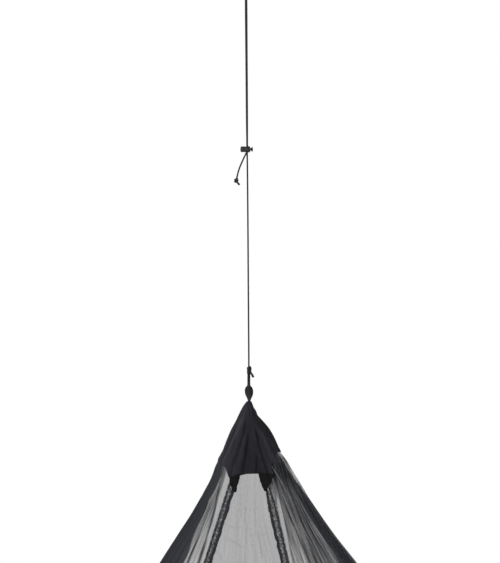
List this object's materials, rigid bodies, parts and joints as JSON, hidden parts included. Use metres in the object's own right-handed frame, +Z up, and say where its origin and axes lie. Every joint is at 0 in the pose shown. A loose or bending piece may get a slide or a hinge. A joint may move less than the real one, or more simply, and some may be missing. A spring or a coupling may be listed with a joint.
{
  "type": "mosquito net canopy",
  "caption": "Hanging mosquito net: a solid cloth cap over a wide pyramid of fine net with a hemmed door, hung from a cord with a sprung cord lock.",
  "frame": {"origin": "where the hanging loop at the top of the cord bears on its hook", "axes": "+Z up; X along the long side of the net, +X to the right when facing the door; the door side faces -Y"},
  "size_m": [1.8598, 1.1847, 2.3529],
  "materials": {
    "cap_cloth": "plain black woven cloth, dull",
    "net": "fine black see-through net, gathered into radiating pleats",
    "patch_cloth": "deep black close cloth, dull",
    "tape": "black woven tape",
    "cord": "thin black braided cord",
    "lock_plastic": "black moulded plastic, satin"
  },
  "bodies": {
    "canopy": {"cap": "cap_cloth", "net_front_left": "net", "net_front_right": "net", "net_end_left": "net", "net_end_right": "net", "net_back": "net", "net_door": "net", "patch_left": "patch_cloth", "patch_right": "patch_cloth", "tape_loop": "tape", "cord_run": "cord", "cord_eye_knot": "cord", "cord_end_knot": "cord", "lock_barrel": "lock_plastic"},
    "plunger": {"lock_plunger": "lock_plastic"}
  },
  "joints": [
    {"name": "plunger_press", "type": "slide", "parent": "canopy", "child": "plunger", "axis": [-1, 0, 0], "range_m": [0, 0.002], "stiffness_N_per_m": 600, "springref_m": -0.004}
  ]
}
